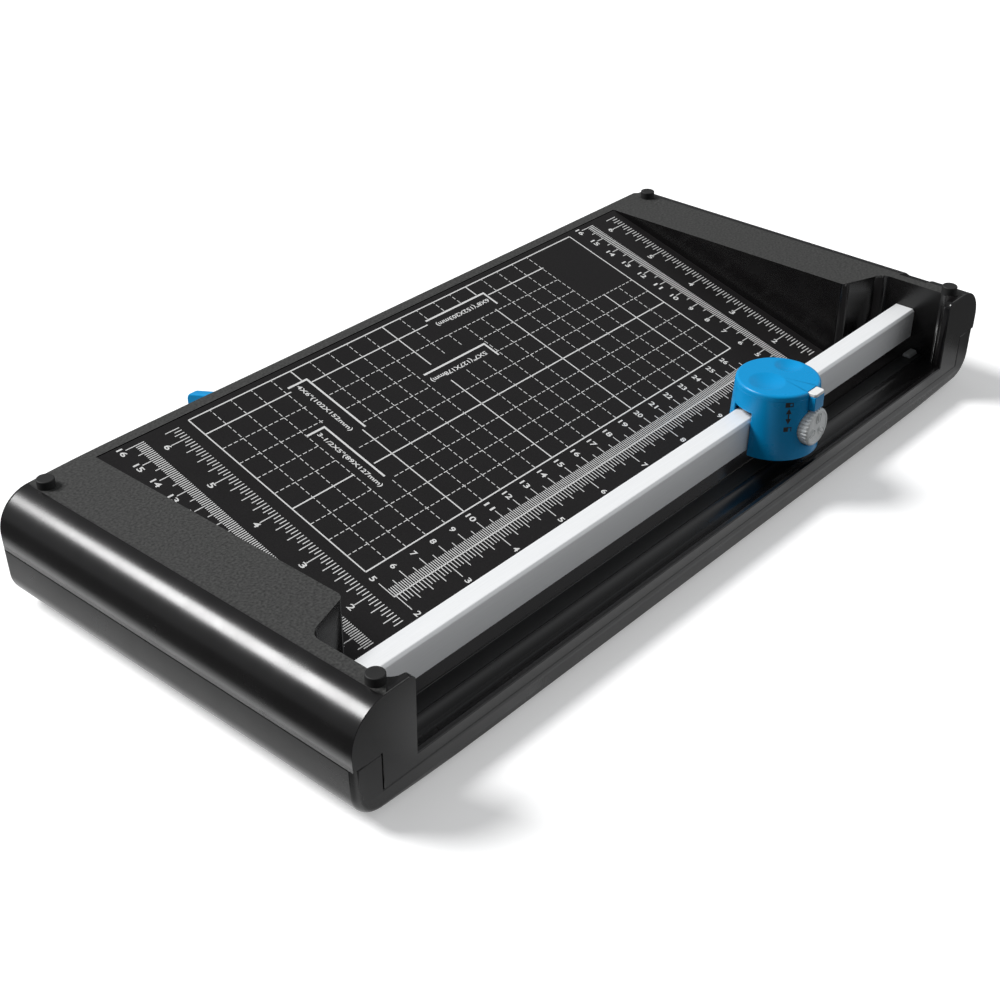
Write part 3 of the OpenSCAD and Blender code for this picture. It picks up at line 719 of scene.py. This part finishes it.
def add_side_rulers(bm, deck, shift):
    """Inches and centimetres up the slope at one end of the grid."""
    base = INCH_BASE + shift
    for part in range(22, 101):
        up = part * INCH_UP / 16
        length = inch_tick(part, INCH_TICKS)
        add_bar(bm, deck, base - length, base, up - TICK / 2, up + TICK / 2)
    for inch in range(2, 7):
        add_text(bm, deck, str(inch), INCH_FIGURES + shift, inch * INCH_UP, 3.0, 2.4, "side")
    base = CM_BASE + shift
    for mm in range(34, 161):
        up = mm * CM_UP / 10
        length = cm_tick(mm, CM_TICKS)
        add_bar(bm, deck, base - length, base, up - TICK / 2, up + TICK / 2)
    for cm in range(4, 17):
        figures = str(cm)
        up = cm * CM_UP - 0.4
        add_text(bm, deck, figures, CM_FIGURES + shift, up, 2.8, 2.1 * len(figures), "side")


def add_corner_mark(bm, deck, corner, arm, leg):
    """A paper size's corner: an arm across and a leg towards the rail."""
    half = CORNER_MARK / 2
    across, up = corner
    add_bar(bm, deck, min(across, arm) - half, max(across, arm) + half, up - half, up + half)
    add_bar(bm, deck, across - half, across + half, leg, up - half)


def add_paper_sizes(bm, deck):
    for note, (across, up), length, reads_from, corner, arm, leg in PAPER_SIZES:
        add_corner_mark(bm, deck, corner, arm, leg)
        add_text(bm, deck, note, across, up, NOTE_HEIGHT, length, reads_from)


def lettering(string):
    """The outline mesh of a string in Blender's own plain font, made bold."""
    curve = bpy.data.curves.new("lettering", "FONT")
    curve.body = string
    curve.extrude = 0.5
    curve.offset = 0.018
    curve.resolution_u = 3
    holder = bpy.data.objects.new("lettering", curve)
    bpy.context.scene.collection.objects.link(holder)
    shown = holder.evaluated_get(bpy.context.evaluated_depsgraph_get())
    mesh = bpy.data.meshes.new_from_object(shown)
    points = [v.co.copy() for v in mesh.vertices]
    faces = [tuple(p.vertices) for p in mesh.polygons]
    bpy.data.objects.remove(holder)
    bpy.data.curves.remove(curve)
    bpy.data.meshes.remove(mesh)
    return points, faces


def add_text(bm, deck, string, across, up, height, length, reads_from):
    """Prints a string centred on a point. `side` reads from the left end, `end` from the back."""
    points, faces = lettering(string)
    left = min(p.x for p in points)
    right = max(p.x for p in points)
    bottom = min(p.y for p in points)
    top = max(p.y for p in points)
    verts = []
    for p in points:
        x = ((p.x - left) / (right - left) - 0.5) * length
        y = ((p.y - bottom) / (top - bottom) - 0.5) * height
        z = INK_TOP if p.z > 0 else INK_BOTTOM
        spot = (across + y, up - x, z) if reads_from == "side" else (across - x, up - y, z)
        verts.append(bm.verts.new(deck @ Vector(spot)))
    for face in faces:
        bm.faces.new([verts[i] for i in face])


def add_deck_print(materials):
    deck = deck_frame()
    bm = bmesh.new()
    add_grid(bm, deck)
    add_rail_ruler(bm, deck)
    for shift in (0, FAR_SHIFT):
        add_side_rulers(bm, deck, shift)
    add_paper_sizes(bm, deck)
    add_piece("deck_print", bm, materials["ink"], "base")


# ---------------------------------------------------------------- head cap

CAP_THICKNESS = 2.4
CAP_EDGE = 1.3
CAP_TAPER = 0.12
NOTCH_HALF = 3.6
NOTCH_BACK = 15.7
# finger dimples: centre along the rail, centre across it, radius, depth
DIMPLES = [(-6.6, 1.2, 7.6, 1.4), (10.9, 2.2, 5.9, 1.35)]
SLEEVE_X = 7
SLEEVE_RADII = (1.46, 2.8)
# steps round the cap, across its notch, out to its rounded edge, and round a sleeve
CAP_STEPS = 132
NOTCH_STEPS = 6
CAP_RINGS = 44
CIRCLE_STEPS = 32


def cap_outline(radius):
    """The cap seen from above: a circle with the latch's notch at the front."""
    corner = math.asin(NOTCH_HALF / radius)
    sweep = 2 * math.pi - 2 * corner
    points = []
    for i in range(CAP_STEPS + 1):
        angle = corner + sweep * i / CAP_STEPS
        points.append((radius * math.sin(angle), -radius * math.cos(angle)))
    for i in range(NOTCH_STEPS + 1):
        points.append((-NOTCH_HALF + 2 * NOTCH_HALF * i / NOTCH_STEPS, -NOTCH_BACK))
    return points


def cap_surface(x, y, radius):
    """How far the top lies below its highest level."""
    drop = 0.0
    for cx, cy, r, depth in DIMPLES:
        share = math.hypot(x - cx, y - cy) / r
        if share < 1:
            drop += depth * (1 - share * share) ** 1.3
    into_edge = math.hypot(x, y) - (radius - CAP_EDGE)
    if into_edge > 0:
        into_edge = min(into_edge, CAP_EDGE)
        drop += CAP_EDGE - math.sqrt(CAP_EDGE ** 2 - into_edge ** 2)
    return drop


def add_ring(bm, points):
    return [bm.verts.new(p) for p in points]


def join_rings(bm, lower, upper):
    count = len(lower)
    for i in range(count):
        j = (i + 1) % count
        bm.faces.new((lower[i], lower[j], upper[j], upper[i]))


def add_head_cap(materials):
    """The cap with its finger dimples and the sleeves below it."""
    low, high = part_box("head_cap")
    wide = (high.x - low.x) / 2 / MM
    radius = wide - CAP_TAPER
    centre = Vector(((low.x + high.x) / 2, high.y - wide * MM, high.z))

    def spot(x, y, z):
        return centre + Vector((x, y, z)) * MM

    bm = bmesh.new()
    outline = cap_outline(radius)
    inner = [0.02 + 0.905 * i / CAP_RINGS for i in range(CAP_RINGS + 1)]
    rim = [1 - (CAP_EDGE / radius) * (1 - math.sin(math.radians(a))) for a in range(0, 91, 11)]
    rings = []
    for share in inner + rim:
        rings.append(add_ring(bm, [spot(x * share, y * share,
                                        -cap_surface(x * share, y * share, radius))
                                   for x, y in outline]))
    for a, b in zip(rings, rings[1:]):
        join_rings(bm, a, b)
    middle = bm.verts.new(spot(0, 0, -cap_surface(0, 0, radius)))
    for i in range(len(outline)):
        bm.faces.new((middle, rings[0][i], rings[0][(i + 1) % len(outline)]))
    grow = wide / radius
    under = add_ring(bm, [spot(x * grow, y * grow, -CAP_THICKNESS) if y > -NOTCH_BACK
                          else spot(x, y, -CAP_THICKNESS) for x, y in outline])
    join_rings(bm, rings[-1], under)
    bm.faces.new(under)
    add_sleeves(bm, spot, low.z)
    piece = add_piece("head_cap_shaped", bm, materials["blue"], "head")
    smooth(piece, SMOOTH_ANGLE)
    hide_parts("head_cap")


def add_sleeves(bm, spot, bottom):
    """Two tubes below the cap that slide on the guide posts."""
    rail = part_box("guide_rail")
    cap = spot(0, 0, 0)
    across = ((rail[0].y + rail[1].y) / 2 - cap.y) / MM
    depth = (bottom - cap.z) / MM
    for x in (-SLEEVE_X, SLEEVE_X):
        rings = []
        for r, z in ((SLEEVE_RADII[0], depth), (SLEEVE_RADII[1], depth),
                     (SLEEVE_RADII[1], -CAP_THICKNESS), (SLEEVE_RADII[0], -CAP_THICKNESS)):
            circle = [2 * math.pi * i / CIRCLE_STEPS for i in range(CIRCLE_STEPS)]
            rings.append(add_ring(bm, [spot(x + r * math.cos(a), across + r * math.sin(a), z)
                                       for a in circle]))
        for i in range(4):
            join_rings(bm, rings[i], rings[(i + 1) % 4])


# ---------------------------------------------------------------- lock symbols on the head

# the head's side, at the bottom and at the top
HEAD_RADII = (18.8, 17.3)
# where the symbols stand, in degrees from the front towards the left
SYMBOL_ANGLE = 41.5
# heights above the table: the locks' middles, and the arrow's shaft and two tips, each tip with
# the way that it widens
CLOSED_LOCK = 45.6
OPEN_LOCK = 34.7
ARROW_SHAFT = (37.6, 43.2)
ARROW_TIPS = ((44.0, -1), (37.0, 1))
# an arrow's head: length, half its width, and the rows that it is made of
ARROW_HEAD = 2.4
ARROW_HALF = 1.15
ARROW_ROWS = 8
# widest flat strip that still follows the curved side, and how far it sinks in and stands out
STRIP = 0.5
SYMBOL_DEPTHS = (-0.2, 0.03)


def head_spot(centre, bottom, top, along, height, lift):
    """A point on the head's tapered side: millimetres round it, height above the table, lift."""
    share = (height - bottom) / (top - bottom)
    radius = HEAD_RADII[0] + (HEAD_RADII[1] - HEAD_RADII[0]) * share + lift
    angle = math.radians(SYMBOL_ANGLE) - along / radius
    return centre + Vector((-radius * math.sin(angle), -radius * math.cos(angle), height)) * MM


def add_symbols(materials):
    """A closed lock, a double arrow and an open lock, one above the other."""
    low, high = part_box("head_housing")
    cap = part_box("head_cap")
    centre = Vector(((low.x + high.x) / 2, high.y - HEAD_RADII[0] * MM, 0))
    bottom, top = low.z / MM, cap[1].z / MM
    bm = bmesh.new()

    def place(along, height, lift):
        return head_spot(centre, bottom, top, along, height, lift)

    def patch(x0, x1, z0, z1):
        """A thin rectangle bent round the side, in strips narrow enough to follow it."""
        strips = max(1, math.ceil((x1 - x0) / STRIP))
        step = (x1 - x0) / strips
        for i in range(strips):
            add_box(bm, place, x0 + i * step, x0 + (i + 1) * step, z0, z1, *SYMBOL_DEPTHS)

    add_lock(patch, CLOSED_LOCK, True)
    add_lock(patch, OPEN_LOCK, False)
    patch(-0.28, 0.28, *ARROW_SHAFT)
    for tip, way in ARROW_TIPS:
        for i in range(ARROW_ROWS):
            half = ARROW_HALF * (i + 0.6) / ARROW_ROWS
            near = tip + way * ARROW_HEAD * i / ARROW_ROWS
            far = tip + way * ARROW_HEAD * (i + 1) / ARROW_ROWS
            patch(-half, half, min(near, far), max(near, far))
    add_piece("lock_symbols", bm, materials["icon"], "head")


def add_lock(patch, height, closed):
    """A padlock lying on its side, its shackle shut or missing one leg."""
    patch(-1.6, 0.3, height - 1.05, height + 1.05)
    reach = 1.7
    patch(0.3, reach, height + 0.55, height + 0.95)
    patch(reach - 0.4, reach, height - 0.95, height + 0.95)
    if closed:
        patch(0.3, reach, height - 0.95, height - 0.55)


# ---------------------------------------------------------------- selector dial

DIAL_RIBS = 30
STEPS_PER_RIB = 10
# the rim's radius between the ribs and on them
DIAL_VALLEY = 7.55
DIAL_RIB = 8.1
# the raised marks: distance of their middles from the axis, turn of the first in degrees, size
MARKS = 3
MARK_RADIUS = 4.2
MARK_TURN = 7
MARK_LENGTH = 3.4
MARK_WIDTH = 1.25
ROUND_STEPS = 10
# sections of a mark and of the oval round it: growth in size, and depth below the mark's top
MARK_SECTIONS = [(-0.25, 0), (-0.08, 0.08), (0, 0.25), (0, 0.7)]
OVAL_SECTIONS = [(0.55, 0.7), (0.6, 0.15), (0.9, 0.15), (0.95, 0.7)]


def dial_radius(angle, share):
    """Radius of the ribbed rim: `share` runs from 0, plain, to 1, fully ribbed."""
    wave = 0.5 + 0.5 * math.cos(DIAL_RIBS * angle)
    ribbed = DIAL_VALLEY + (DIAL_RIB - DIAL_VALLEY) * min(1, 1.6 * wave ** 0.8)
    return DIAL_VALLEY + (ribbed - DIAL_VALLEY) * share


def add_dial(materials):
    """The knurled dial, with three raised marks on the cap that covers its screw."""
    low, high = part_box("selector_dial")
    centre = Vector(((low.x + high.x) / 2, low.y, (low.z + high.z) / 2))
    depth = (high.y - low.y) / MM

    def spot(radius, angle, y):
        return centre + Vector((radius * math.sin(angle), y, radius * math.cos(angle))) * MM

    bm = bmesh.new()
    steps = DIAL_RIBS * STEPS_PER_RIB
    turns = [2 * math.pi * i / steps for i in range(steps)]
    # distance from the face, share of the ribs, and how far in from the rim
    levels = [(0.5, 0, 4.2), (0.5, 0, 1.0), (0.25, 0, 0.8), (0.25, 0, 0.35), (0.45, 0, 0.05),
              (0.85, 0.6, 0), (1.15, 1, 0), (depth - 0.45, 1, 0), (depth - 0.15, 0.3, 0),
              (depth, 0, 0.3), (depth, 0, 4.4)]
    rings = [add_ring(bm, [spot(dial_radius(a, share) - inset, a, y) for a in turns])
             for y, share, inset in levels]
    for a, b in zip(rings, rings[1:]):
        join_rings(bm, a, b)
    bm.faces.new(rings[0])
    bm.faces.new(rings[-1])
    for i in range(MARKS):
        turn = math.radians(MARK_TURN + 360 / MARKS * i)
        add_mark(bm, spot, turn)
        add_oval_rim(bm, spot, turn)
    piece = add_piece("selector_dial_shaped", bm, materials["grey"], "turret")
    smooth(piece, 35)
    weight_normals(piece)
    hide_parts("selector_dial", "dial_screw")


def mark_ring(bm, spot, turn, grow, depth):
    """One section of a mark: a bar with round ends, grown on all sides, along the radius."""
    r = MARK_WIDTH / 2 + grow
    reach = (MARK_LENGTH - MARK_WIDTH) / 2
    angles = [math.pi * i / ROUND_STEPS for i in range(ROUND_STEPS + 1)]
    upper = [(r * math.cos(a), reach + r * math.sin(a)) for a in angles]
    lower = [(-x, -y) for x, y in upper]
    return add_ring(bm, [mark_point(spot, turn, x, y, depth) for x, y in upper + lower])


def mark_point(spot, turn, x, y, depth):
    """A point of a mark: x across it and y along it, on the face at that turn."""
    radial = MARK_RADIUS + y
    return spot(math.hypot(radial, x), turn + math.atan2(x, radial), depth)


def add_mark(bm, spot, turn):
    """A raised bar with round ends, along the radius at that turn."""
    rings = [mark_ring(bm, spot, turn, grow, depth) for grow, depth in MARK_SECTIONS]
    for a, b in zip(rings, rings[1:]):
        join_rings(bm, a, b)
    bm.faces.new(rings[0])
    bm.faces.new(rings[-1])


def add_oval_rim(bm, spot, turn):
    """A low raised oval round a mark."""
    rings = [mark_ring(bm, spot, turn, grow, depth) for grow, depth in OVAL_SECTIONS]
    for a, b in zip(rings, rings[1:] + rings[:1]):
        join_rings(bm, a, b)


# ---------------------------------------------------------------- return springs


def add_springs(materials):
    """The head's return springs, as a smoothed copy of their CAD node."""
    bm = bmesh.new()
    bm.from_mesh(nodes["return_springs"].data)
    bmesh.ops.remove_doubles(bm, verts=bm.verts, dist=WELD * MM)
    piece = add_piece("return_springs_shaped", bm, materials["spring"], "carriage")
    smooth(piece, SMOOTH_ANGLE)
    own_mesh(piece)
    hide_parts("return_springs")


# ---------------------------------------------------------------- build

add_camera()
bpy.context.scene.view_settings.view_transform = "Standard"
add_world()
add_sun()
add_floor()

finishes = make_materials()
dress_nodes(finishes)
add_deck_print(finishes)
add_head_cap(finishes)
add_symbols(finishes)
add_dial(finishes)
add_springs(finishes)
shape_casing("upper_casing", "casing_upper", finishes)
shape_casing("lower_casing", "casing_lower", finishes)
